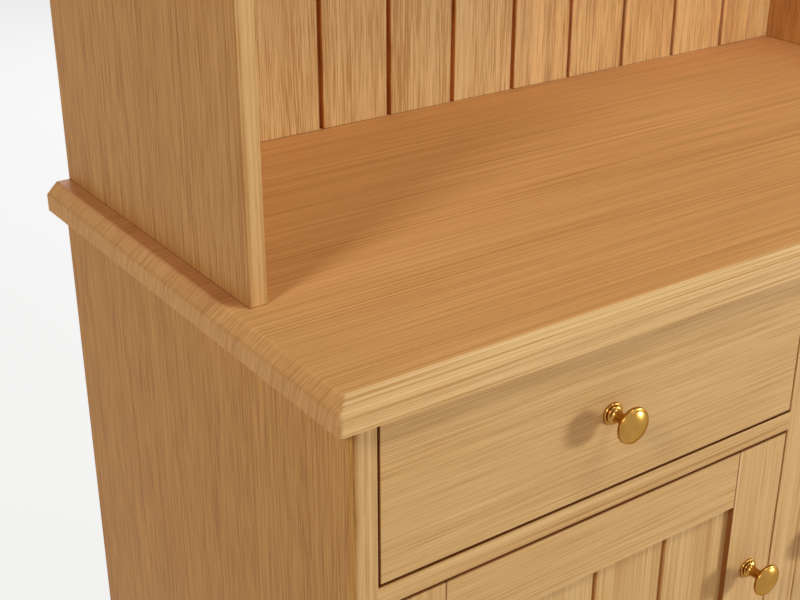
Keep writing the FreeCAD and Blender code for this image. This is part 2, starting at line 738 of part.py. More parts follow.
def door_pieces():
    """The left door, as a dictionary of its pieces."""
    y_ends = (front_y, front_y + door_thickness)
    panel_y = front_y + door_panel_setback
    panel_y_ends = (panel_y, panel_y + door_panel_thickness)
    inner_left = leaf_left_x + door_stile_width
    inner_right = leaf_right_x - door_stile_width
    rail_under_z = door_top_z - door_top_rail_height
    rail_over_z = door_under_z + door_bottom_rail_height
    grip = door_groove_depth - door_panel_float
    knob_z = door_top_z - door_knob_drop
    groove_x_ends = (inner_left - door_groove_depth, inner_right + door_groove_depth)
    panel_x_ends = (inner_left - grip, inner_right + grip)

    groove_full = box(groove_x_ends, panel_y_ends, (door_under_z, door_top_z))
    groove_z_ends = (rail_over_z - door_groove_depth, rail_under_z + door_groove_depth)
    groove_field = box(groove_x_ends, panel_y_ends, groove_z_ends)
    hinge_stile = box((leaf_left_x, inner_left), y_ends, (door_under_z, door_top_z)).cut(groove_full)
    lock_stile = box((inner_right, leaf_right_x), y_ends, (door_under_z, door_top_z)).cut(groove_full)
    hinge_stile = rounded(hinge_stile, edge_round, {"x": leaf_left_x, "y": front_y})
    lock_stile = rounded(lock_stile, edge_round, {"x": leaf_right_x, "y": front_y})
    for middle_z in hinge_middles_z:
        hinge_stile = hinge_stile.cut(leaf_recess(1, middle_z))
    hinge_stile = cut_screw_holes(hinge_stile, leaf_screw_places(1), hinge_screw_length)
    lock_stile = lock_stile.cut(knob_hole(lock_stile_middle_x, knob_z))

    rails = []
    for z_ends in ((rail_under_z, door_top_z), (door_under_z, rail_over_z)):
        rail = box((inner_left, inner_right), y_ends, z_ends)
        rails.append(rail.fuse(box(panel_x_ends, panel_y_ends, z_ends)).cut(groove_field))

    count = max(1, round((inner_right - inner_left) / door_board_pitch))
    pitch = (inner_right - inner_left) / count
    joints = [inner_left + pitch * row for row in range(1, count)]
    panel_z_ends = (rail_over_z - grip, rail_under_z + grip)
    boards = tongued_boards(panel_x_ends, joints, panel_y, door_panel_thickness, panel_z_ends,
                            door_board_groove_width, door_board_groove_depth)
    screws = [screw(point, way, hinge_screw_length, 0) for point, way in leaf_screw_places(1)]
    return {
        "hinge_stile": hinge_stile,
        "lock_stile": lock_stile,
        "top_rail": rails[0].removeSplitter(),
        "bottom_rail": rails[1].removeSplitter(),
        "panel_boards": Part.makeCompound(boards),
        "knob": knob(lock_stile_middle_x, knob_z),
        "hinge_leaves": Part.makeCompound(hinge_leaves(1)),
        "strike": door_strike(),
        "screws": Part.makeCompound(screws),
    }


def hutch_side():
    """The hutch's left side, rebated for the back boards and housed for the shelves."""
    side = box((-hutch_outer_x, -hutch_inner_x), (hutch_front_y, back_y), (base_height, hutch_side_top_z))
    for edge_x in (-hutch_outer_x, -hutch_inner_x):
        side = rounded(side, edge_round, {"x": edge_x, "y": hutch_front_y})
    rebate_x = -hutch_inner_x - back_board_rebate
    side = side.cut(box((rebate_x, -hutch_inner_x), (board_face_y, back_y), (base_height, hutch_side_top_z)))
    for z in (lower_shelf_z, upper_shelf_z):
        side = side.cut(hutch_shelf_blank(z))
    return side


def hutch_shelf_blank(z):
    """The outer form of a hutch shelf, housed in both sides."""
    x_end = hutch_inner_x + hutch_shelf_housing
    y_ends = (hutch_front_y + hutch_shelf_setback, board_face_y)
    return box((-x_end, x_end), y_ends, (z, z + hutch_shelf_thickness))


def hutch_shelf(z):
    """A hutch shelf with a groove that keeps plates upright."""
    top_z = z + hutch_shelf_thickness
    shelf = hutch_shelf_blank(z)
    groove_y = board_face_y - plate_groove_distance
    groove = box((-hutch_inner_x, hutch_inner_x), (groove_y, groove_y - plate_groove_width),
                 (top_z - plate_groove_depth, top_z + cut_overrun))
    front_edge_y = hutch_front_y + hutch_shelf_setback
    shelf = rounded(shelf, edge_round, {"y": front_edge_y, "z": z}, {"y": front_edge_y, "z": top_z})
    return shelf.cut(groove)


def hutch_top():
    """The board over the hutch's sides."""
    return box((-hutch_outer_x, hutch_outer_x), (hutch_front_y, back_y), (hutch_side_top_z, hutch_top_z))


def frieze():
    """The board under the hutch's top, arched along its lower edge."""
    z = hutch_side_top_z - frieze_height
    y_ends = (hutch_front_y, hutch_front_y + frieze_thickness)
    board = box((-hutch_inner_x, hutch_inner_x), y_ends, (z, hutch_side_top_z))
    return board.cut(arch_cutter(hutch_inner_x - frieze_arch_margin, frieze_arch_rise, z, y_ends))


def cornice_section(place):
    """The cornice's section as a face, where place turns an outward reach and a height into a point."""
    low = hutch_top_z - cornice_height
    cove_start = (cornice_foot_projection, low + cornice_foot_height)
    cove_end = (cornice_projection - cornice_step, hutch_top_z - cornice_fillet_height)
    run = cove_end[0] - cove_start[0]
    rise = cove_end[1] - cove_start[1]
    cove_middle = (cove_start[0] + run * cove_share, cove_end[1] - rise * cove_share)
    corners = [
        (cornice_projection, cove_end[1]),
        (cornice_projection, hutch_top_z),
        (0, hutch_top_z),
        (0, low),
        (cornice_foot_projection, low),
    ]
    edges = [Part.Arc(place(*cove_start), place(*cove_middle), place(*cove_end)).toShape()]
    outline = [cove_end] + corners + [cove_start]
    for start, end in zip(outline, outline[1:]):
        edges.append(Part.LineSegment(place(*start), place(*end)).toShape())
    return Part.Face(Part.Wire(edges))


def cornice_pieces():
    """The front of the cornice and its left return, mitred together."""
    reach_x = hutch_outer_x + cornice_projection
    reach_y = hutch_front_y - cornice_projection
    up = Z_AXIS * cornice_height
    low = hutch_top_z - cornice_height
    left_corner = (-hutch_outer_x, hutch_front_y)
    right_corner = (hutch_outer_x, hutch_front_y)
    front_plan = [(-reach_x, reach_y), (reach_x, reach_y), right_corner, left_corner]
    left_plan = [(-reach_x, reach_y), left_corner, (-hutch_outer_x, back_y), (-reach_x, back_y)]
    front_face = cornice_section(lambda reach, z: Vector(-reach_x, hutch_front_y - reach, z))
    left_face = cornice_section(lambda reach, z: Vector(-hutch_outer_x - reach, reach_y, z))
    front = front_face.extrude(X_AXIS * (2 * reach_x))
    front = front.common(prism([Vector(x, y, low) for x, y in front_plan], up))
    left = left_face.extrude(Y_AXIS * (back_y - reach_y))
    left = left.common(prism([Vector(x, y, low) for x, y in left_plan], up))
    return front, left


def hutch_back_boards():
    """The tongued boards that close the hutch's back, recessed for the fixing plates."""
    x_end = hutch_inner_x + back_board_rebate
    joints = [-boards_half + true_board_pitch * row for row in range(1, back_board_count)]
    z_ends = (base_height, hutch_side_top_z)
    boards = tongued_boards((-x_end, x_end), joints, board_face_y, back_board_thickness, z_ends,
                            back_board_groove_width, back_board_groove_depth)
    finished = []
    for board in boards:
        for plate_x in fixing_plate_middles():
            if board.BoundBox.XMin < plate_x < board.BoundBox.XMax:
                board = board.cut(fixing_plate(plate_x))
                board = cut_screw_holes(board, fixing_screw_places(), fixing_screw_length)
        finished.append(board)
    return Part.makeCompound(finished)


def fixing_plate_middles():
    """The middles, in x, of the two fixing plates, each on the middle of a back board."""
    middle = -boards_half + true_board_pitch * fixing_board_index + true_board_pitch / 2
    return middle, -middle


def fixing_plate(plate_x):
    """The form of one fixing plate, let into the back over the joint of worktop and boards."""
    x_ends = (plate_x - fixing_plate_width / 2, plate_x + fixing_plate_width / 2)
    z_ends = (base_height - fixing_plate_height / 2, base_height + fixing_plate_height / 2)
    return box(x_ends, (back_y - fixing_plate_thickness, back_y), z_ends)


def fixing_screw_places():
    """Where the fixing plates' screws go in, and which way."""
    half_width = fixing_plate_width / 2 - fixing_screw_inset
    half_height = fixing_plate_height / 2 - fixing_screw_inset
    places = []
    for plate_x in fixing_plate_middles():
        for x in (plate_x - half_width, plate_x + half_width):
            for z in (base_height - half_height, base_height + half_height):
                places.append((Vector(x, back_y, z), -Y_AXIS))
    return places


def fixing_plates():
    """Both fixing plates, with their screw holes."""
    plates = []
    for plate_x in fixing_plate_middles():
        plates.append(cut_screw_holes(fixing_plate(plate_x), fixing_screw_places(), fixing_screw_length))
    return Part.makeCompound(plates)


def carcass_screws():
    """The screws of the fixed hinge leaves and of the fixing plates."""
    screws = []
    for point, way in leaf_screw_places(-1):
        hinge_screw = screw(point, way, hinge_screw_length, 0)
        screws += [hinge_screw, mirrored(hinge_screw)]
    screws += [screw(point, way, fixing_screw_length, 0) for point, way in fixing_screw_places()]
    return Part.makeCompound(screws)


def all_nodes():
    """Every piece of the dresser, by name."""
    left_side = base_side()
    left_rail = mid_rail()
    left_shelf = cupboard_shelf()
    left_hutch_side = hutch_side()
    cornice_front, cornice_left = cornice_pieces()
    fixed_leaves = hinge_leaves(-1)
    nodes = {
        "base_left_side": left_side,
        "base_right_side": mirrored(left_side),
        "centre_stile": centre_stile(),
        "centre_partition": centre_partition(),
        "base_floor": base_floor(),
        "plinth": plinth(),
        "base_back_panel": base_back_panel(),
        "worktop": worktop(),
        "mid_rail_left": left_rail,
        "mid_rail_right": mirrored(left_rail),
        "drawer_runners": drawer_runners(),
        "drawer_stops": drawer_stops(),
        "cupboard_shelf_left": left_shelf,
        "cupboard_shelf_right": mirrored(left_shelf),
        "shelf_pins": shelf_pins(),
        "door_catches": door_catches(),
        "hinge_fixed_leaves": Part.makeCompound(fixed_leaves + [mirrored(leaf) for leaf in fixed_leaves]),
        "hinge_pins": hinge_pins(),
        "carcass_screws": carcass_screws(),
        "hutch_left_side": left_hutch_side,
        "hutch_right_side": mirrored(left_hutch_side),
        "hutch_shelf_lower": hutch_shelf(lower_shelf_z),
        "hutch_shelf_upper": hutch_shelf(upper_shelf_z),
        "hutch_top": hutch_top(),
        "frieze": frieze(),
        "cornice_front": cornice_front,
        "cornice_left": cornice_left,
        "cornice_right": mirrored(cornice_left),
        "hutch_back_boards": hutch_back_boards(),
        "fixing_plates": fixing_plates(),
    }
    for body, pieces in (("drawer", drawer_pieces()), ("door", door_pieces())):
        for piece, shape in pieces.items():
            nodes[body + "_left_" + piece] = shape
            nodes[body + "_right_" + piece] = mirrored(shape)
    return nodes


def main():
    """Write one STEP file per piece, and print what each holds."""
    os.makedirs("parts", exist_ok=True)
    for name, shape in all_nodes().items():
        shape.exportStep("parts/" + name + ".step")
        print(name, "solids", len(shape.Solids), "valid", shape.isValid(), "volume", round(shape.Volume))


main()
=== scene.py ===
# %% [markdown]
# A welsh dresser in oak
# This lesson dresses a finished CAD model of a dresser. The model already has every board, drawer, door
# and hinge at its real size, so the work here is wood, brass, light and a camera. Each step says what the
# thing is on the real dresser and why it is made this way.

# %% Load the frame
import math
from collections import namedtuple

import bmesh
import bpy
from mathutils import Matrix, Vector


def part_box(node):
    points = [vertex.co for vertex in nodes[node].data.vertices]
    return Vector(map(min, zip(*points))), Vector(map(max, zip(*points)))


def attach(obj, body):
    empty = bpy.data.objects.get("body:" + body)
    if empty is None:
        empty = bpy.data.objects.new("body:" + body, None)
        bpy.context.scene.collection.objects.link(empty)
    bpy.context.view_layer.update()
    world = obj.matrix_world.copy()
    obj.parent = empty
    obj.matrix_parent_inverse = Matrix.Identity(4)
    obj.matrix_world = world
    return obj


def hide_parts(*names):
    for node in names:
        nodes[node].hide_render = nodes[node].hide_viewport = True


MM = 0.001
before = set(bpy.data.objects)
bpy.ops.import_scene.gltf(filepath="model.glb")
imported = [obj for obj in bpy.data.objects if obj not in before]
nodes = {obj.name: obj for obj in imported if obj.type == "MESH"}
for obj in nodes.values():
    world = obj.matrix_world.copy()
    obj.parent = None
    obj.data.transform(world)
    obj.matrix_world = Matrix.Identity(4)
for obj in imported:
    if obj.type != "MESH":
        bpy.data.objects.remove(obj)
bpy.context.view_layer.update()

# %% [markdown]
# A bench for node trees
# A finish is a tree of nodes, and most of it is arithmetic. Written out one node at a time, a sum of
# three terms takes a dozen lines. So one small class wraps an output socket and lets Python's own signs
# add the Math nodes. One method makes every other node: its settings go in first, then the values or
# links of its sockets.

# %% Sockets that take part in sums
class Value:
    """An output socket that takes part in sums."""

    def __init__(self, bench, socket):
        self.bench = bench
        self.socket = socket

    def math(self, operation, first, second):
        settings = {"operation": operation}
        return self.bench.node("ShaderNodeMath", settings, {0: first, 1: second}).out("Value")

    def __add__(self, other):
        return self.math("ADD", self, other)

    def __sub__(self, other):
        return self.math("SUBTRACT", self, other)

    def __rsub__(self, other):
        return self.math("SUBTRACT", other, self)

    def __mul__(self, other):
        return self.math("MULTIPLY", self, other)

    def __gt__(self, other):
        return self.math("GREATER_THAN", self, other)

    def __lt__(self, other):
        return self.math("LESS_THAN", self, other)

    def __abs__(self):
        return self.math("ABSOLUTE", self, 0.0)

    __radd__ = __add__
    __rmul__ = __mul__


print("signs that make Math nodes: + - * > < abs")

# %% The bench
HALFWAY = 0.5


class Made:
    """A node that was made, with its outputs at hand."""

    def __init__(self, bench, node):
        self.bench = bench
        self.node = node

    def out(self, key):
        return Value(self.bench, self.node.outputs[key])


class Bench:
    """A place to build one node tree."""

    def __init__(self, tree):
        self.tree = tree
        tree.nodes.clear()

    def node(self, kind, settings=None, sockets=None):
        """Makes a node. A new ramp has two stops, so those it lacks are put halfway and then moved."""
        made = self.tree.nodes.new(kind)
        for key, setting in (settings or {}).items():
            if key == "stops":
                ramp = made.color_ramp.elements
                while len(ramp) < len(setting):
                    ramp.new(HALFWAY)
                for stop, (place, colour) in zip(ramp, setting):
                    stop.position = place
                    stop.color = (*colour, 1.0)
            else:
                setattr(made, key, setting)
        for key, value in (sockets or {}).items():
            if isinstance(value, Value):
                self.tree.links.new(value.socket, made.inputs[key])
            else:
                made.inputs[key].default_value = value
        return Made(self, made)


print("bench ready")

# %% Starting and ending a finish
def new_finish(name):
    """An empty material and the bench for its tree."""
    material = bpy.data.materials.new(name)
    material.use_nodes = True
    return material, Bench(material.node_tree)


def finish_with(bench, sockets):
    """Ends a material's tree in one Principled shader."""
    shader = bench.node("ShaderNodeBsdfPrincipled", {}, sockets).out("BSDF")
    bench.node("ShaderNodeOutputMaterial", {}, {"Surface": shader})


def dress(node_names, material):
    """Gives CAD nodes one material."""
    for node_name in node_names:
        slots = nodes[node_name].data.materials
        slots.clear()
        slots.append(material)


print("a finish is a material whose tree ends in one Principled shader")

# %% [markdown]
# Oak
# A plank is cut lengthways from a trunk, so its grain is a set of long layers. A picture of wood wrapped
# round a board would break at every edge. A solid pattern doesn't: it fills space, and each face simply
# cuts through it. Three lengths place a point in the plank: how far along the grain, how far over the
# layers and how far into them. Noise that changes fast over the layers and very slowly along them gives
# streaks. The layers lie at a slant to the face, so a board's edge shows fewer, wider lines than its
# face, as the real edges do.

# %% Where a point lies in a plank
LAYER_SLANT = math.radians(17)
SEED_OVER, SEED_INTO, SEED_LENGTH = 3.1, 1.7, 5.3
BOARD_LIGHT, BOARD_LIGHT_RANGE = 0.98, 0.04
NOISE_MEAN = 0.5
STREAK_ROUGHNESS = 0.6


class Plank:
    """Where a point lies in a plank, in metres along its grain, over its layers and into them."""

    def __init__(self, bench, along, across, shift, boards):
        place = bench.node("ShaderNodeTexCoord").out("Object")
        through = next(axis for axis in "XYZ" if axis not in (along, across))
        slant_cos, slant_sin = math.cos(LAYER_SLANT), math.sin(LAYER_SLANT)
        self.bench = bench
        self.split = bench.node("ShaderNodeSeparateXYZ", {}, {"Vector": place})
        face, depth = self.split.out(across), self.split.out(through)
        self.length = self.split.out(along)
        self.over = face * slant_cos + depth * slant_sin + shift
        self.into = depth * slant_cos - face * slant_sin + shift
        self.light = 1.0
        if boards:
            seed = bench.node("ShaderNodeAttribute", {"attribute_name": "board_seed"}).out("Fac")
            self.over = self.over + seed * SEED_OVER
            self.into = self.into + seed * SEED_INTO
            self.length = self.length + seed * SEED_LENGTH
            self.light = BOARD_LIGHT + seed * BOARD_LIGHT_RANGE

    def streaks(self, rates, over=None, fine=1.0, short=1.0):
        """Noise about zero. Its rates are per metre over the layers, into them and along the grain.

        The fourth of the rates is the noise's detail, and fine and short multiply the first and third."""
        over_rate, into_rate, along_rate, detail = rates
        start = self.over if over is None else over
        point = self.bench.node("ShaderNodeCombineXYZ", {}, {
            "X": start * (over_rate * fine),
            "Y": self.into * into_rate,
            "Z": self.length * (along_rate * short),
        }).out("Vector")
        sockets = {"Vector": point, "Scale": 1.0, "Detail": detail, "Roughness": STREAK_ROUGHNESS}
        return self.bench.node("ShaderNodeTexNoise", {}, sockets).out(0) - NOISE_MEAN


print("layers slant by", round(math.degrees(LAYER_SLANT)), "degrees")

# %% [markdown]
# The oak recipe
# Four kinds of streak make this oak: layers about 3 mm wide, fine fibres, broad bands, and the short
# flecks that the real timber shows as dashes. The first three add up and pick a colour between a dark and
# a pale share of one mean tone, so a piece's colour is set by a single value. The flecks darken it a
# little more. A board could be one colour with a bump, but then it would look painted. Here the streaks
# change the colour first, and the bump and the gloss only a little.

# %% Streaks and tones
WAVE_RATES = (11.0, 9.0, 2.2, 2.0)
LAYER_RATES = (300.0, 20.0, 2.4, 2.0)
FIBRE_RATES = (950.0, 40.0, 6.0, 2.0)
BAND_RATES = (40.0, 9.0, 1.4, 2.0)
FLECK_RATES = (1300.0, 420.0, 45.0, 1.0)
EDGE_RATES = (60.0, 430.0, 1.5, 2.0)
DARK_STOP, MEAN_STOP, PALE_STOP = 0.22, 0.5, 0.78
DARK_SHARE = (0.74, 0.62, 0.48)
PALE_SHARE = (1.15, 1.24, 1.40)


def shared(colour, share):
    """A colour times a share, part by part."""
    return tuple(part * times for part, times in zip(colour, share))


def grain_stops(tone):
    """A ramp from the dark to the pale share of a mean tone."""
    return [
        (DARK_STOP, shared(tone, DARK_SHARE)),
        (MEAN_STOP, tone),
        (PALE_STOP, shared(tone, PALE_SHARE)),
    ]


print("fibres per metre", FIBRE_RATES[0], "layers per metre", LAYER_RATES[0])

# %% The recipe
FLECK_LEVEL, FLECK_DARKNESS, FLECK_DEPTH = 0.14, 0.06, 0.4
OAK_BUMP, OAK_BUMP_HEIGHT = 0.06, 0.4 * MM
OAK_ROUGHNESS, FIBRE_ROUGHNESS = 0.52, 0.25
OAK_SPECULAR = 0.15
Strip = namedtuple("Strip", "mask share lines")


def oak(name, along, across, shift, tone, line=1.0, band=0.55, layer=0.55, fine=1.0, short=1.0,
        wave=2 * MM, edge_rates=EDGE_RATES, calm=0.0, boards=False, strips=None):
    """Oak of a mean tone, with its grain along one axis and its face across another.

    shift picks another part of the tree. line sets how strong the streaks are, band and layer how strong
    the broad ones are among them, fine how close they lie and short how soon they break off. Boards have a
    number each. strips names parts that are cut from other wood, dark joints, and painted light and shade:
    a mask, a share of the tone and the strength of the lines along them. Inside them, calm is the share by
    which the other streaks fade."""
    material, bench = new_finish(name)
    plank = Plank(bench, along, across, shift, boards)
    bent = plank.over + plank.streaks(WAVE_RATES) * wave
    layers = plank.streaks(LAYER_RATES, bent, fine, short)
    fibres = plank.streaks(FIBRE_RATES, bent, fine, short)
    bands = plank.streaks(BAND_RATES, bent, fine)
    flecks = plank.streaks(FLECK_RATES, bent)
    streaky = (layers * layer + fibres + bands * band) * line
    parts = strips(plank.split) if strips else []
    for strip in parts:
        if strip.lines:
            edge_lines = plank.streaks(edge_rates) * strip.mask * strip.lines
            streaky = streaky * (1 - strip.mask * calm) + edge_lines
    stops = grain_stops(tone)
    grain = MEAN_STOP + streaky
    base = bench.node("ShaderNodeValToRGB", {"stops": stops}, {"Fac": grain}).out("Color")
    for strip in parts:
        base = bench.node("ShaderNodeMix", {"data_type": "RGBA", "blend_type": "MULTIPLY"}, {
            0: strip.mask, 6: base, 7: (*strip.share, 1.0)}).out(2)
    fleck = flecks > FLECK_LEVEL
    light = plank.light - fleck * FLECK_DARKNESS
    colour = bench.node("ShaderNodeVectorMath", {"operation": "SCALE"}, {
        0: base, "Scale": light}).out("Vector")
    height = fibres + layers - fleck * FLECK_DEPTH
    bump = bench.node("ShaderNodeBump", {}, {
        "Strength": OAK_BUMP, "Distance": OAK_BUMP_HEIGHT, "Height": height}).out("Normal")
    finish_with(bench, {
        "Base Color": colour,
        "Roughness": OAK_ROUGHNESS + fibres * FIBRE_ROUGHNESS,
        "Specular IOR Level": OAK_SPECULAR,
        "Normal": bump,
    })
    return material


def dress_in_oak(name, members, **choices):
    """Makes one oak and gives it to CAD nodes."""
    dress(members, oak(name, **choices))
    print(name, len(members), "pieces, grain along", choices["along"])


print("oak recipe ready")

# %% [markdown]
# Edges, joints, and painted light and shade
# No dresser is one even colour. Its sides are drawn in a darker, warmer tone than its fronts, as painted
# shade where they turn from the light, and their front edges are drawn paler again, as painted light. The
# worktop has a solid nosing that is mitred at the corners, and its front bevel is drawn paler, as painted
# light. Its end is drawn darker, partly as darker end grain and partly as painted shade. A painted shadow
# of the hutch lies on the worktop beside it, painted shade makes the hutch's foot and every narrow gap
# nearly black, and the joints between rails and stiles are dark lines. These could be pieces of their own,
# but they have no shape of their own. So each is a strip: a mask over part of a piece. The masks come from
# the CAD's own boxes and so stay on their edges.

# %% A mask that rises, and the painted shade in narrow gaps
# Painted shade: the near-black of narrow gaps and of the hutch's foot, and the dark joint lines of the
# doors.
PAINTED_SHADE_AND_JOINT_DARK = (0.40, 0.25, 0.15)
HAIR = 0.8 * MM
FOOT_RISE, FOOT_DROP = 1.2 * MM, 0.5 * MM
top_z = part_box("worktop")[1].z


def ramp_up(value, low, high):
    """A mask that rises from nothing to one between two values."""
    return value.bench.node("ShaderNodeMapRange", {"interpolation_type": "SMOOTHSTEP"}, {
        "Value": value, "From Min": low, "From Max": high}).out("Result")


def painted_foot_shade(split):
    """Painted shade: the dark line where the hutch stands on the worktop."""
    height = split.out("Z")
    line = ramp_up(height, top_z + FOOT_RISE, top_z) * (height > top_z - FOOT_DROP)
    return [Strip(line, PAINTED_SHADE_AND_JOINT_DARK, 0.0)]


print("the hutch stands on the worktop at", round(top_z, 4))

# %% The sides, in a painted-shade tone, with their front edges paler as painted light
SIDE_GRAIN = {"line": 2.2, "band": 0.2, "layer": 0.25, "fine": 1.25, "short": 3.2, "calm": 0.75}
# Painted shade: the sides' tones are darker and warmer than the fronts' because the sides face away from the
# light. The front-edge shares are painted light that brings the edges back to the fronts' tone.
BASE_SIDE_SHADED_TONE = (0.513, 0.233, 0.055)
HUTCH_SIDE_SHADED_TONE = (0.537, 0.253, 0.071)
BASE_EDGE_LIT_SHARE = (1.29, 1.49, 2.40)
HUTCH_EDGE_LIT_SHARE = (1.16, 1.25, 1.53)
FRONT_EDGE_LINES = 1.5


def lit_front_edge(node_name, share):
    """Painted light: a paler strip along a side's front edge, as far back as a hair, that brings it back to
    the fronts' lit tone.
    """
    front = -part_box(node_name)[0].y

    def lit_edge_strips(split):
        """The paler front edge, as painted light, and the painted shade line at the foot of a hutch side."""
        return [Strip((0 - split.out("Y")) > front - HAIR, share, FRONT_EDGE_LINES)] + painted_foot_shade(split)

    return lit_edge_strips


dress_in_oak("base_side_oak", ["base_left_side", "base_right_side", "centre_partition"],
             along="Z", across="Y", shift=3.0, tone=BASE_SIDE_SHADED_TONE,
             strips=lit_front_edge("base_left_side", BASE_EDGE_LIT_SHARE), **SIDE_GRAIN)
dress_in_oak("hutch_side_oak", ["hutch_left_side", "hutch_right_side"],
             along="Z", across="Y", shift=7.0, tone=HUTCH_SIDE_SHADED_TONE,
             strips=lit_front_edge("hutch_left_side", HUTCH_EDGE_LIT_SHARE), **SIDE_GRAIN)

# %% Where the worktop ends
BEVEL = 10 * MM
END_FADE = (-1 * MM, 3 * MM)
FLAT_FADE = (7 * MM, 9.8 * MM)
# Painted shadow: the hutch's cast shadow on the worktop beside it, starting at its front corner and widening
# towards the back.
HUTCH_SHADOW_FADE = (0.0, 15 * MM)
HUTCH_SHADOW_SLOPE = 0.8
BESIDE_HUTCH = 0.5 * MM
worktop_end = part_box("worktop")[1].x
worktop_front = -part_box("worktop")[0].y
hutch_front = -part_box("hutch_left_side")[0].y
hutch_outside = -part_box("hutch_left_side")[0].x


def worktop_masks(split):
    """The worktop's end bevel and flat end, the painted shadow of the hutch beside it, and its front bevel
    and flat nosing.
    """
    beside = abs(split.out("X"))
    ends = beside - (worktop_end - BEVEL)
    nose = (0 - split.out("Y")) - (worktop_front - BEVEL)
    end_mask = ramp_up(ends, *END_FADE) * (ends > nose)
    flat_end = end_mask * ramp_up(ends, *FLAT_FADE)
    behind = split.out("Y") + hutch_front - (beside - hutch_outside) * HUTCH_SHADOW_SLOPE
    corner = ramp_up(behind, *HUTCH_SHADOW_FADE) * (beside > hutch_outside - BESIDE_HUTCH) * (1 - end_mask)
    nose_mask = (nose > 0) * (1 - end_mask)
    flat_nose = nose_mask * ramp_up(nose, *FLAT_FADE)
    return end_mask * (1 - flat_end), flat_end, corner, nose_mask * (1 - flat_nose), flat_nose


print("worktop bevel", BEVEL, "m, half width", round(worktop_end, 4))

# %% The worktop
WORKTOP_TONE = (0.820, 0.423, 0.149)
# End bevel and flat end: darker end grain, and painted shade where the end faces away from the light.
BEVEL_SHARE = (0.86, 0.84, 0.80)
END_GRAIN_AND_SHADE_SHARE = (0.745, 0.705, 0.63)
# Painted shadow of the hutch on the worktop beside it.
HUTCH_SHADOW_SHARE = (0.75, 0.65, 0.61)
# Painted light: the front bevel faces up towards the lamps and is drawn paler.
NOSE_BEVEL_LIT_SHARE = (0.935, 1.04, 1.19)
NOSE_SHARE = (0.875, 0.915, 0.975)
NOSE_LINES = 0.9
WORKTOP_EDGE_RATES = (60.0, 850.0, 2.25, 2.0)


def worktop_strips(split):
    """The end grain, also darkened as painted shade, the front nosing, mitred at the corners, with painted
    light on its bevel, and the painted shadow of the hutch beside it.
    """
    end_bevel, flat_end, corner, nose_bevel, flat_nose = worktop_masks(split)
    return [
        Strip(end_bevel, BEVEL_SHARE, 0.0),
        Strip(flat_end, END_GRAIN_AND_SHADE_SHARE, 0.0),
        Strip(corner, HUTCH_SHADOW_SHARE, 0.0),
        Strip(nose_bevel, NOSE_BEVEL_LIT_SHARE, NOSE_LINES),
        Strip(flat_nose, NOSE_SHARE, NOSE_LINES),
    ]


dress_in_oak("worktop_oak", ["worktop"], along="X", across="Y", shift=11.0, tone=WORKTOP_TONE,
             line=1.15, band=0.15, layer=0.4, fine=1.3, short=0.8, edge_rates=WORKTOP_EDGE_RATES,
             strips=worktop_strips)

# %% [markdown]
# Which way the grain runs
# A joiner lays the grain along the length of each piece: up the stiles, along the rails and the shelves,
# from front to back on a drawer's sides. So each group of pieces gets its own oak, named for what it is
# used on, with the axis that the grain follows and the axis across its face. The CAD nodes keep their
# shapes and only take a new material. One oak for all would be shorter, but its grain would run across
# half of the pieces.

# %% The rails
FRONT_TONE = (0.655, 0.343, 0.123)
SAME_TONE = (1.0, 1.0, 1.0)
RAIL_LINES = 1.0
RAIL_TOP_BELOW, RAIL_TOP_ABOVE = 0.1 * MM, 0.5 * MM
rail_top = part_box("mid_rail_left")[1].z


def rail_strips(split):
    """Painted shade on the rail's upper edge, deep in the gap under the drawers, and the lines along every
    rail.
    """
    height = split.out("Z")
    gap_shade_mask = (height > rail_top - RAIL_TOP_BELOW) * (height < rail_top + RAIL_TOP_ABOVE)
    return [Strip(gap_shade_mask, PAINTED_SHADE_AND_JOINT_DARK, 0.0), Strip(height > 0.0, SAME_TONE, RAIL_LINES)]


dress_in_oak("rail_oak", ["mid_rail_left", "mid_rail_right", "plinth", "frieze", "cornice_front"],
             along="X", across="Z", shift=13.0, tone=FRONT_TONE, line=1.2, strips=rail_strips)

# %% Drawer fronts, centre stile and doors
CALM_GRAIN = {"line": 0.9, "band": 0.12, "layer": 0.2, "fine": 1.1, "short": 1.6}
STILE_GRAIN = {"line": 0.9, "band": 0.3, "fine": 1.4, "short": 2.0}
GAP_EDGE = 0.5 * MM
DOOR_TOP_EDGE = 1.0 * MM
JOINT_HALF_WIDTH = 0.7 * MM
DOOR_STILES = ["door_left_hinge_stile", "door_left_lock_stile", "door_right_hinge_stile",
               "door_right_lock_stile"]
DOOR_RAILS = ["door_left_top_rail", "door_left_bottom_rail", "door_right_top_rail", "door_right_bottom_rail"]
front_end = -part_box("drawer_left_front")[0].x
door_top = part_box("door_left_hinge_stile")[1].z
door_joints = (-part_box("door_left_hinge_stile")[1].x, -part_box("door_left_lock_stile")[0].x)


def drawer_painted_shade(split):
    """Painted shade on the drawer fronts' outer ends, deep in the gap beside the sides."""
    return [Strip(abs(split.out("X")) > front_end - GAP_EDGE, PAINTED_SHADE_AND_JOINT_DARK, 0.0)]


def door_painted_shade_and_joints(split):
    """Painted shade on the doors' upper and outer edges, deep in the gaps, and dark lines at the joints
    between rails and stiles.
    """
    beside = abs(split.out("X"))
    joints = [abs(beside - joint) < JOINT_HALF_WIDTH for joint in door_joints]
    edges = [split.out("Z") > door_top - DOOR_TOP_EDGE, beside > front_end - GAP_EDGE]
    return [Strip(mask, PAINTED_SHADE_AND_JOINT_DARK, 0.0) for mask in edges + joints]


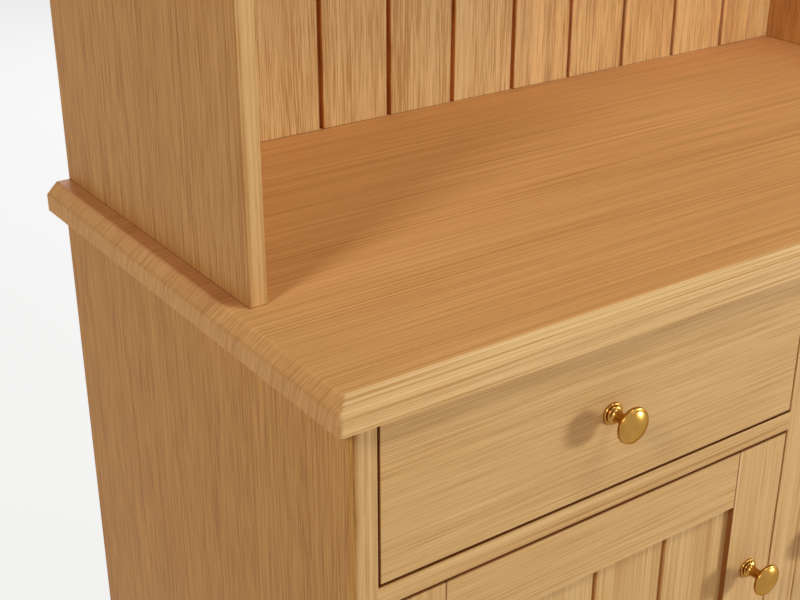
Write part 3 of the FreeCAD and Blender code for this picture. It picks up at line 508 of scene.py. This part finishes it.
dress_in_oak("drawer_front_oak", ["drawer_left_front", "drawer_right_front"],
             along="X", across="Z", shift=17.0, tone=FRONT_TONE, strips=drawer_painted_shade, **CALM_GRAIN)
dress_in_oak("centre_stile_oak", ["centre_stile"], along="Z", across="X", shift=18.0, tone=FRONT_TONE)
dress_in_oak("stile_oak", DOOR_STILES, along="Z", across="X", shift=19.0, tone=FRONT_TONE,
             strips=door_painted_shade_and_joints, **STILE_GRAIN)
dress_in_oak("door_rail_oak", DOOR_RAILS, along="X", across="Z", shift=23.0, tone=FRONT_TONE,
             strips=door_painted_shade_and_joints, **CALM_GRAIN)

# %% Shelves and cornice
SHELVES = ["hutch_shelf_lower", "hutch_shelf_upper", "hutch_top", "base_floor", "cupboard_shelf_left",
           "cupboard_shelf_right"]
dress_in_oak("shelf_oak", SHELVES, along="X", across="Y", shift=29.0, tone=FRONT_TONE)
dress_in_oak("cornice_return_oak", ["cornice_left", "cornice_right"],
             along="Y", across="Z", shift=31.0, tone=FRONT_TONE)

# %% Inside the drawers and behind the base
PLAIN_TONE = (0.600, 0.370, 0.160)
BOTTOM_WAVE, BACK_WAVE = 20 * MM, 30 * MM
DRAWER_SIDES = ["drawer_left_outer_side", "drawer_left_inner_side", "drawer_right_outer_side",
                "drawer_right_inner_side", "drawer_runners"]
dress_in_oak("drawer_side_oak", DRAWER_SIDES, along="Y", across="Z", shift=37.0, tone=PLAIN_TONE)
dress_in_oak("drawer_back_oak", ["drawer_left_back", "drawer_right_back", "drawer_stops"],
             along="X", across="Z", shift=41.0, tone=PLAIN_TONE)
dress_in_oak("panel_ply", ["drawer_left_bottom", "drawer_right_bottom"],
             along="X", across="Y", shift=43.0, tone=PLAIN_TONE, wave=BOTTOM_WAVE)
dress_in_oak("back_ply", ["base_back_panel"],
             along="Z", across="X", shift=47.0, tone=PLAIN_TONE, wave=BACK_WAVE)

# %% [markdown]
# Boards in a row
# The hutch's back and the door panels are the same idea: narrow upright boards side by side, with a
# square groove at each joint. One board is drawn as an outline that is pulled up. An Array
# modifier could repeat it, but it couldn't tell the boards apart. So a Geometry Nodes tree lays out the
# row, stretches the first and last board into the grooves that hold them, and gives each board a random
# number. The oak reads that number, so no two boards are cut from the same part of the tree.

# %% One board
EASED = 0.5 * MM


def board_mesh(name, width, thickness, groove_width, groove_depth, low, high):
    """One board, centred on x = 0, with its face at y = 0 and half of a joint groove down each edge."""
    half = width / 2
    face = half - groove_width / 2
    right = [(face - EASED, 0), (face, EASED), (face, groove_depth), (half, groove_depth),
             (half, thickness - EASED), (half - EASED, thickness)]
    outline = right + [(-x, y) for x, y in reversed(right)]
    shape = bmesh.new()
    rings = [[shape.verts.new((x, y, z)) for x, y in outline] for z in (low, high)]
    for index in range(len(outline)):
        after = (index + 1) % len(outline)
        shape.faces.new((rings[0][index], rings[0][after], rings[1][after], rings[1][index]))
    for ring in rings:
        shape.faces.new(ring)
    bmesh.ops.recalc_face_normals(shape, faces=shape.faces)
    mesh = bpy.data.meshes.new(name)
    shape.to_mesh(mesh)
    shape.free()
    return mesh


print("a board is an outline of 12 points, pulled up")

# %% The row's inputs
ROW_INPUTS = [
    ("Board", "NodeSocketGeometry"), ("Count", "NodeSocketInt"), ("Pitch", "NodeSocketFloat"),
    ("Start", "NodeSocketVector"), ("End Stretch", "NodeSocketFloat"), ("End Shift", "NodeSocketFloat"),
    ("Seed", "NodeSocketInt"), ("Finish", "NodeSocketMaterial"),
]
board_row = bpy.data.node_groups.new("board_row", "GeometryNodeTree")
for label, kind in ROW_INPUTS:
    board_row.interface.new_socket(name=label, in_out="INPUT", socket_type=kind)
board_row.interface.new_socket(name="Boards", in_out="OUTPUT", socket_type="NodeSocketGeometry")
print("board row inputs", [label for label, kind in ROW_INPUTS])

# %% The row of boards, as a Geometry Nodes tree
row = Bench(board_row)
given = row.node("NodeGroupInput")
step = row.node("ShaderNodeCombineXYZ", {}, {"X": given.out("Pitch")}).out("Vector")
line = row.node("GeometryNodeMeshLine", {"mode": "OFFSET"}, {
    "Count": given.out("Count"), "Start Location": given.out("Start"), "Offset": step}).out("Mesh")
index = row.node("GeometryNodeInputIndex").out("Index")
is_first = 1 - (index > HALFWAY)
is_last = index > given.out("Count") - (1 + HALFWAY)
sideways = (is_last - is_first) * given.out("End Shift")
shift_out = row.node("ShaderNodeCombineXYZ", {}, {"X": sideways}).out("Vector")
line = row.node("GeometryNodeSetPosition", {}, {"Geometry": line, "Offset": shift_out}).out("Geometry")
wider = 1 + (is_first + is_last) * (given.out("End Stretch") - 1)
scale = row.node("ShaderNodeCombineXYZ", {}, {"X": wider, "Y": 1.0, "Z": 1.0}).out("Vector")
placed = row.node("GeometryNodeInstanceOnPoints", {}, {
    "Points": line, "Instance": given.out("Board"), "Scale": scale}).out("Instances")
chance = row.node("FunctionNodeRandomValue", {"data_type": "FLOAT"}, {"Seed": given.out("Seed")}).out(1)
placed = row.node("GeometryNodeStoreNamedAttribute", {"data_type": "FLOAT", "domain": "INSTANCE"}, {
    "Geometry": placed, "Name": "board_seed", "Value": chance}).out("Geometry")
real = row.node("GeometryNodeRealizeInstances", {}, {"Geometry": placed}).out("Geometry")
real = row.node("GeometryNodeSetMaterial", {}, {
    "Geometry": real, "Material": given.out("Finish")}).out("Geometry")
row.node("NodeGroupOutput", {}, {"Boards": real})
print("board row tree", len(board_row.nodes), "nodes")

# %% Laying the boards
def lay_boards(node_name, body, finish, count, pitch, start_x, seed, thickness, groove_width,
               groove_depth):
    """Makes the boards that stand for a CAD node, between the node's own ends."""
    low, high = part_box(node_name)
    mesh = board_mesh(node_name + "_one", pitch, thickness, groove_width, groove_depth, low.z, high.z)
    piece = bpy.data.objects.new(node_name + "_row", mesh)
    bpy.context.scene.collection.objects.link(piece)
    modifier = piece.modifiers.new("row", "NODES")
    modifier.node_group = board_row
    end_reach = start_x - pitch / 2 - low.x
    settings = {
        "Count": count,
        "Pitch": pitch,
        "Start": (start_x, low.y, 0.0),
        "End Stretch": 1 + end_reach / pitch,
        "End Shift": end_reach / 2,
        "Seed": seed,
        "Finish": finish,
    }
    for item in board_row.interface.items_tree:
        if item.name in settings:
            modifier[item.identifier] = settings[item.name]
    evaluated = piece.evaluated_get(bpy.context.evaluated_depsgraph_get())
    piece.data = bpy.data.meshes.new_from_object(evaluated)
    piece.modifiers.clear()
    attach(piece, body)
    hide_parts(node_name)
    print(piece.name, count, "boards", len(piece.data.polygons), "faces")


print("boards reach into the grooves at both ends of their row")

# %% The hutch's back
BACK_TONE = (0.735, 0.408, 0.149)
# Painted shade: the back boards' joint grooves are drawn darker than their face.
GROOVE_SHADE_SHARE = (0.86, 0.70, 0.66)
BACK_COUNT, BACK_PITCH, BACK_SEED = 11, 80 * MM, 5
BACK_THICKNESS, BACK_GROOVE = 9.7 * MM, 5 * MM
back_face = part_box("hutch_back_boards")[0].y


def back_strips(split):
    """Painted shade: a dark line at the foot of the back boards, and their joint grooves drawn darker behind
    the face, down to their floor.
    """
    depth = split.out("Y")
    in_groove = (depth > back_face + 2 * HAIR) * (depth < back_face + BACK_GROOVE + HAIR)
    return painted_foot_shade(split) + [Strip(in_groove, GROOVE_SHADE_SHARE, 0.0)]


back_oak = oak("back_board_oak", along="Z", across="X", shift=53.0, tone=BACK_TONE, line=2.0, layer=0.4,
               fine=1.2, short=3.2, wave=10 * MM, boards=True, strips=back_strips)
lay_boards("hutch_back_boards", "carcass", back_oak, count=BACK_COUNT, pitch=BACK_PITCH,
           start_x=-(BACK_COUNT - 1) / 2 * BACK_PITCH, seed=BACK_SEED, thickness=BACK_THICKNESS,
           groove_width=BACK_GROOVE, groove_depth=BACK_GROOVE)

# %% The door panels
PANEL_TONE = (0.645, 0.340, 0.120)
PANEL_COUNT = 4
PANEL_SEEDS = {"left": 8, "right": 12}
PANEL_GRIP, PANEL_THICKNESS = 9 * MM, 9 * MM
PANEL_GROOVE_WIDTH, PANEL_GROOVE_DEPTH = 4.5 * MM, 4 * MM
panel_oak = oak("panel_board_oak", along="Z", across="X", shift=59.0, tone=PANEL_TONE, line=0.9, boards=True)
for hand, seed in PANEL_SEEDS.items():
    low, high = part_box("door_%s_panel_boards" % hand)
    pitch = (high.x - low.x - 2 * PANEL_GRIP) / PANEL_COUNT
    lay_boards("door_%s_panel_boards" % hand, "door_" + hand, panel_oak, count=PANEL_COUNT, pitch=pitch,
               start_x=low.x + PANEL_GRIP + pitch / 2, seed=seed, thickness=PANEL_THICKNESS,
               groove_width=PANEL_GROOVE_WIDTH, groove_depth=PANEL_GROOVE_DEPTH)

# %% [markdown]
# Brass
# The knobs and hinges are polished, lacquered brass. A yellow with some gloss would look like plastic,
# because a metal's colour is what it mirrors, tinted. So the tint is deep, the surface is smooth, and a
# faint cloud of handling varies both. At a glancing angle a metal turns paler, and the edge tint keeps
# that part yellow too.

# %% Brass
BRASS = (0.487, 0.254, 0.058)
BRASS_WORN = (0.391, 0.189, 0.039)
BRASS_EDGE = (0.90, 0.75, 0.50, 1.0)
BRASS_ROUGHNESS, BRASS_ROUGHNESS_RANGE = 0.20, 0.10
BRASS_CLOUD = {"Scale": 60.0, "Detail": 3.0}
HINGE_BRASS = ["hinge_fixed_leaves", "hinge_pins", "door_left_hinge_leaves", "door_right_hinge_leaves"]
CLOUD_LOW, CLOUD_HIGH = 0.3, 0.7


def clouded(bench, low_colour, high_colour, cloud):
    """A colour that wanders between two others with a noise."""
    stops = [(CLOUD_LOW, low_colour), (CLOUD_HIGH, high_colour)]
    return bench.node("ShaderNodeValToRGB", {"stops": stops}, {"Fac": cloud}).out("Color")


brass, bench = new_finish("polished_brass")
place = bench.node("ShaderNodeTexCoord").out("Object")
handling = bench.node("ShaderNodeTexNoise", {}, {"Vector": place, **BRASS_CLOUD}).out(0)
finish_with(bench, {
    "Base Color": clouded(bench, BRASS_WORN, BRASS, handling),
    "Metallic": 1.0,
    "Roughness": BRASS_ROUGHNESS + handling * BRASS_ROUGHNESS_RANGE,
    "Specular Tint": BRASS_EDGE,
})
dress(HINGE_BRASS, brass)
print("brass", BRASS, "on", len(HINGE_BRASS), "nodes and the knobs")

# %% [markdown]
# Turned knobs
# A knob is turned on a lathe, so one outline spun round an axis is its whole shape: a flat rose against
# the wood, a bead on it, a waisted neck and a low domed head with a round rim. The screw that holds it
# from inside is round too, so it comes first in the same outline. A curve with few points is easier to
# change than a long list: each run of the outline starts where the last one ended, bends towards a corner
# and stops at its end. The CAD knob has the same sizes. This one has many more steps, so that its
# reflections run smoothly round.

# %% The knob's outline
KNOB_REACH = 28.0
KNOB_RUNS = [
    ((6.0, 0.0), (9.4, 0.0)),
    ((9.4, 2.0), (8.2, 2.0)),
    ((7.6, 2.0), (7.0, 2.1)),
    ((8.4, 3.1), (6.3, 4.2)),
    ((4.3, 5.0), (4.3, 9.5)),
    ((4.3, 15.0), (7.2, 17.4)),
    ((9.6, 19.6), (14.1, 20.4)),
    ((15.0, 20.6), (15.0, 22.2)),
    ((15.0, 23.8), (14.0, 23.9)),
    ((13.5, 23.9), (13.3, 24.3)),
    ((7.2, KNOB_REACH), (0.0, KNOB_REACH)),
]
SCREW_RADIUS = 2.0
SCREW_HEAD = (4.5, 2.4)
RUN_STEPS = 8


def turned_outline(behind):
    """Points of radius and reach, in millimetres, from the screw's head, behind the wood, to the tip."""
    wide, high = SCREW_HEAD
    screw_runs = [
        ((wide, -behind), (wide, high - behind)),
        ((SCREW_RADIUS, high - behind), (SCREW_RADIUS, 0.0)),
    ]
    points = [(0.0, -behind)]
    for corner, stop in screw_runs + KNOB_RUNS:
        first = points[-1]
        for step in range(1, RUN_STEPS + 1):
            t = step / RUN_STEPS
            points.append(tuple((1 - t) ** 2 * a + 2 * t * (1 - t) * b + t * t * c
                                for a, b, c in zip(first, corner, stop)))
    return points


print("a knob has", len(KNOB_RUNS), "runs of", RUN_STEPS, "steps")

# %% Turning it
TURN_STEPS = 72
SHARP_ANGLE = math.radians(38)


def turned_mesh(name, axis_x, axis_z, wood_y, outline):
    """An outline turned round an axis along Y, closed at both ends, with its reach towards the front."""
    shape = bmesh.new()
    turns = [2 * math.pi * step / TURN_STEPS for step in range(TURN_STEPS)]
    rings = [[shape.verts.new((axis_x + radius * MM * math.cos(turn), wood_y - reach * MM,
                               axis_z + radius * MM * math.sin(turn))) for turn in turns]
             for radius, reach in outline[1:-1]]
    ends = (outline[0], outline[-1])
    tips = [shape.verts.new((axis_x, wood_y - reach * MM, axis_z)) for radius, reach in ends]
    for step in range(TURN_STEPS):
        after = (step + 1) % TURN_STEPS
        for near, far in zip(rings, rings[1:]):
            shape.faces.new((near[step], near[after], far[after], far[step]))
        for tip, ring in zip(tips, (rings[0], rings[-1])):
            shape.faces.new((ring[step], ring[after], tip))
    bmesh.ops.recalc_face_normals(shape, faces=shape.faces)
    for face in shape.faces:
        face.smooth = True
    mesh = bpy.data.meshes.new(name)
    shape.to_mesh(mesh)
    shape.free()
    mesh.set_sharp_from_angle(angle=SHARP_ANGLE)
    return mesh


print("turned in", TURN_STEPS, "steps")

# %% The four knobs
for body in ("drawer_left", "drawer_right", "door_left", "door_right"):
    low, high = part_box(body + "_knob")
    middle = (low + high) / 2
    wood_y = low.y + KNOB_REACH * MM
    outline = turned_outline((high.y - wood_y) / MM)
    name = body + "_knob_turned"
    knob = bpy.data.objects.new(name, turned_mesh(name, middle.x, middle.z, wood_y, outline))
    knob.data.materials.append(brass)
    bpy.context.scene.collection.objects.link(knob)
    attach(knob, body)
    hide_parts(body + "_knob")
    print(knob.name, len(knob.data.polygons), "faces, wood at", round(wood_y, 4))

# %% [markdown]
# Steel and plastic
# Screws, fixing plates and shelf pins are plain plated steel, dull and a little streaky. The magnetic
# catches are brown plastic with a fine moulded texture. Nobody looks at them long, but they show when a
# door stands open. A flat grey would do from afar. A stretched noise costs two more nodes and makes it
# metal.

# %% Steel
STEEL_DARK = (0.40, 0.40, 0.41)
STEEL_PALE = (0.62, 0.62, 0.63)
STEEL_ROUGHNESS, STEEL_ROUGHNESS_RANGE = 0.32, 0.2
BRUSH_STRETCH = (900.0, 900.0, 60.0)
STEEL_NODES = ["carcass_screws", "door_left_screws", "door_right_screws", "fixing_plates", "shelf_pins",
               "door_left_strike", "door_right_strike"]
steel, bench = new_finish("plated_steel")
place = bench.node("ShaderNodeTexCoord").out("Object")
stretched = bench.node("ShaderNodeMapping", {}, {"Vector": place, "Scale": BRUSH_STRETCH}).out("Vector")
brushed = bench.node("ShaderNodeTexNoise", {}, {"Vector": stretched, "Scale": 1.0, "Detail": 2.0}).out(0)
finish_with(bench, {
    "Base Color": clouded(bench, STEEL_DARK, STEEL_PALE, brushed),
    "Metallic": 1.0,
    "Roughness": STEEL_ROUGHNESS + brushed * STEEL_ROUGHNESS_RANGE,
})
dress(STEEL_NODES, steel)
print("steel on", len(STEEL_NODES), "nodes")

# %% Plastic
PLASTIC_DARK = (0.09, 0.045, 0.02)
PLASTIC_PALE = (0.13, 0.07, 0.035)
PLASTIC_ROUGHNESS, PLASTIC_ROUGHNESS_RANGE = 0.5, 0.2
SKIN = {"Scale": 2500.0, "Detail": 2.0}
SKIN_BUMP, SKIN_HEIGHT = 0.2, 0.2 * MM
plastic, bench = new_finish("catch_plastic")
place = bench.node("ShaderNodeTexCoord").out("Object")
skin = bench.node("ShaderNodeTexNoise", {}, {"Vector": place, **SKIN}).out(0)
moulded = bench.node("ShaderNodeBump", {}, {
    "Strength": SKIN_BUMP, "Distance": SKIN_HEIGHT, "Height": skin}).out("Normal")
finish_with(bench, {
    "Base Color": clouded(bench, PLASTIC_DARK, PLASTIC_PALE, skin),
    "Roughness": PLASTIC_ROUGHNESS + skin * PLASTIC_ROUGHNESS_RANGE,
    "Normal": moulded,
})
dress(["door_catches"], plastic)
bare = [name for name, piece in nodes.items() if not any(piece.data.materials)]
print("nodes without a finish:", bare)

# %% [markdown]
# The room
# The dresser stands on a wide, plain, pale floor. Nothing else is in the room, so the eye stays on the
# wood. More light would turn the floor white but spoil the wood. So the rays that see the floor find it
# lifted most of the way to white, and the rest of it is lit as it is and keeps the dresser's shadow.

# %% Rays that see a background
SEEN_LEVEL = 0.5


def seen_rays(bench):
    """One for the rays that see a background, straight, in metal or through glass, and else nothing."""
    path = bench.node("ShaderNodeLightPath")
    seen = path.out("Is Camera Ray") + path.out("Is Glossy Ray") + path.out("Is Transmission Ray")
    return seen > SEEN_LEVEL


print("seen rays: camera, glossy, transmission")

# %% Floor
FLOOR_HALF = 30.0
FLOOR_LIFT = 0.8
FLOOR_DARK = (0.86, 0.86, 0.85)
FLOOR_PALE = (0.89, 0.89, 0.88)
FLOOR_GLOW = (0.97, 0.97, 0.965, 1.0)
FLOOR_ROUGHNESS, FLOOR_SPECULAR = 0.7, 0.2
FLOOR_CLOUD = {"Scale": 3.0, "Detail": 4.0}
floor_corners = [(-FLOOR_HALF, -FLOOR_HALF, 0), (FLOOR_HALF, -FLOOR_HALF, 0), (FLOOR_HALF, FLOOR_HALF, 0),
                 (-FLOOR_HALF, FLOOR_HALF, 0)]
floor_mesh = bpy.data.meshes.new("floor")
floor_mesh.from_pydata(floor_corners, [], [(0, 1, 2, 3)])
floor = bpy.data.objects.new("floor", floor_mesh)
bpy.context.scene.collection.objects.link(floor)
pale_floor, bench = new_finish("pale_floor")
place = bench.node("ShaderNodeTexCoord").out("Object")
mottle = bench.node("ShaderNodeTexNoise", {}, {"Vector": place, **FLOOR_CLOUD}).out(0)
lit_floor = bench.node("ShaderNodeBsdfPrincipled", {}, {
    "Base Color": clouded(bench, FLOOR_DARK, FLOOR_PALE, mottle),
    "Roughness": FLOOR_ROUGHNESS,
    "Specular IOR Level": FLOOR_SPECULAR,
}).out("BSDF")
glow = bench.node("ShaderNodeEmission", {}, {"Color": FLOOR_GLOW, "Strength": 1.0}).out("Emission")
lift = seen_rays(bench) * FLOOR_LIFT
lifted = bench.node("ShaderNodeMixShader", {}, {0: lift, 1: lit_floor, 2: glow}).out("Shader")
bench.node("ShaderNodeOutputMaterial", {}, {"Surface": lifted})
floor_mesh.materials.append(pale_floor)
print("floor", 2 * FLOOR_HALF, "m wide")

# %% [markdown]
# Light
# A pale sky all round fills every corner, and seven lamps do the rest. The key lamp stands far off to the
# right, almost level with the knob, and throws the knob's shadow sideways along the drawer. The side
# lamp, at the left, lights the sides and draws the shadow that the hutch's side lays across the worktop.
# The top lamp gives the knob its second, faint shadow and shades the drawers under the worktop's edge.
# Three more fill the right, the back and the left. The niche lamp is narrow and has a grid before it, and
# it lights only the back boards that the right hutch side would shade. Point lamps would be simpler, but
# every shadow would have a hard edge.

# %% Sky
SKY_LEVEL = 0.10
SKY_TINT = (1.0, 0.95, 0.88)
BACKDROP_LEVEL = 0.90
BACKDROP_TINT = (1.0, 1.0, 0.99)
world = bpy.data.worlds.new("sky")
bpy.context.scene.world = world
world.use_nodes = True
sky = Bench(world.node_tree)
seen = seen_rays(sky)
strength = seen * (BACKDROP_LEVEL - SKY_LEVEL) + SKY_LEVEL
tint = sky.node("ShaderNodeMix", {"data_type": "RGBA"}, {
    0: seen, 6: (*SKY_TINT, 1.0), 7: (*BACKDROP_TINT, 1.0)}).out(2)
glow = sky.node("ShaderNodeBackground", {}, {"Color": tint, "Strength": strength}).out("Background")
sky.node("ShaderNodeOutputWorld", {}, {"Surface": glow})
print("sky", SKY_LEVEL, "backdrop", BACKDROP_LEVEL)

# %% A lamp
WHITE_LIGHT = (1.0, 1.0, 1.0)
NO_GRID = 180.0


def lamp(name, target, turn, tilt, reach, size, watts, colour=WHITE_LIGHT, spread=NO_GRID):
    """A soft rectangular lamp that faces a target, turned from the front and tilted up, in degrees.

    A spread under 180 degrees puts a grid before the lamp, which keeps its light to a narrow beam."""
    data = bpy.data.lights.new(name, "AREA")
    data.shape = "RECTANGLE"
    data.size, data.size_y = size
    data.energy = watts
    data.spread = math.radians(spread)
    data.color = colour
    around = math.radians(turn)
    above = math.radians(tilt)
    level = math.cos(above)
    way = Vector((math.sin(around) * level, -math.cos(around) * level, math.sin(above)))
    lit = bpy.data.objects.new(name, data)
    lit.location = Vector(target) + way * reach
    lit.rotation_mode = "QUATERNION"
    lit.rotation_quaternion = (-way).to_track_quat("-Z", "Y")
    bpy.context.scene.collection.objects.link(lit)


print("a lamp faces its target from a turn, a tilt and a reach")

# %% The seven lamps
KEY_LIGHT = (0.80, 1.0, 1.10)
TOP_LIGHT = (0.86, 0.96, 0.94)
KNOB_POINT = (-0.2315, -0.2195, 0.746)
HUTCH_CORNER = (-0.443, -0.0795, 0.840)
WORKTOP_POINT = (-0.1, -0.05, 0.840)
NICHE_POINT = (0.28, 0.2375, 1.25)
RIGHT_POINT = (0.48, 0.0, 0.9)
BACK_POINT = (0.0, 0.25, 0.9)
LEFT_POINT = (-0.48, 0.0, 0.8)
lamp("key_lamp", KNOB_POINT, turn=54.0, tilt=5.0, reach=6.0, size=(0.96, 0.96), watts=242.0,
     colour=KEY_LIGHT)
lamp("side_lamp", HUTCH_CORNER, turn=-65.6, tilt=35.0, reach=4.5, size=(0.9, 0.9), watts=80.0)
lamp("top_lamp", WORKTOP_POINT, turn=31.0, tilt=59.0, reach=2.8, size=(0.6, 0.6), watts=21.5,
     colour=TOP_LIGHT)
lamp("right_lamp", RIGHT_POINT, turn=105.0, tilt=20.0, reach=4.0, size=(2.0, 2.0), watts=60.0)
lamp("back_lamp", BACK_POINT, turn=155.0, tilt=20.0, reach=4.0, size=(2.0, 2.0), watts=60.0)
lamp("left_lamp", LEFT_POINT, turn=-95.0, tilt=2.0, reach=4.0, size=(2.0, 1.2), watts=14.0,
     colour=SKY_TINT)
lamp("niche_lamp", NICHE_POINT, turn=0.0, tilt=10.0, reach=2.6, size=(0.40, 0.90), watts=0.55,
     colour=KEY_LIGHT, spread=4.4)
print("lamps", [piece.name for piece in bpy.data.objects if piece.type == "LIGHT"])

# %% [markdown]
# Camera
# The photograph looks down on the left front corner. Its straight edges give the place, the direction and
# the lens: the picture is 800 pixels wide, and a lens of so many pixels is that share of the sensor's
# width. Turning the camera by hand until it fits would take longer and never be as close.

# %% Camera
IMAGE_WIDTH = 800
LENS_PIXELS = 1348.13
SENSOR_WIDTH = 36.0
CAMERA_PLACE = (-0.864571, -0.847327, 1.254446)
CAMERA_TURN = math.radians(34.9538)
CAMERA_DIP = math.radians(25.2790)
camera_data = bpy.data.cameras.new("camera")
camera_data.sensor_width = SENSOR_WIDTH
camera_data.lens = SENSOR_WIDTH * LENS_PIXELS / IMAGE_WIDTH
camera = bpy.data.objects.new("camera", camera_data)
camera.location = CAMERA_PLACE
level = math.cos(CAMERA_DIP)
look = Vector((math.sin(CAMERA_TURN) * level, math.cos(CAMERA_TURN) * level, -math.sin(CAMERA_DIP)))
camera.rotation_mode = "QUATERNION"
camera.rotation_quaternion = look.to_track_quat("-Z", "Y")
bpy.context.scene.collection.objects.link(camera)
bpy.context.scene.camera = camera
bpy.context.scene.view_settings.view_transform = "Standard"
print("lens", round(camera_data.lens, 2), "mm")
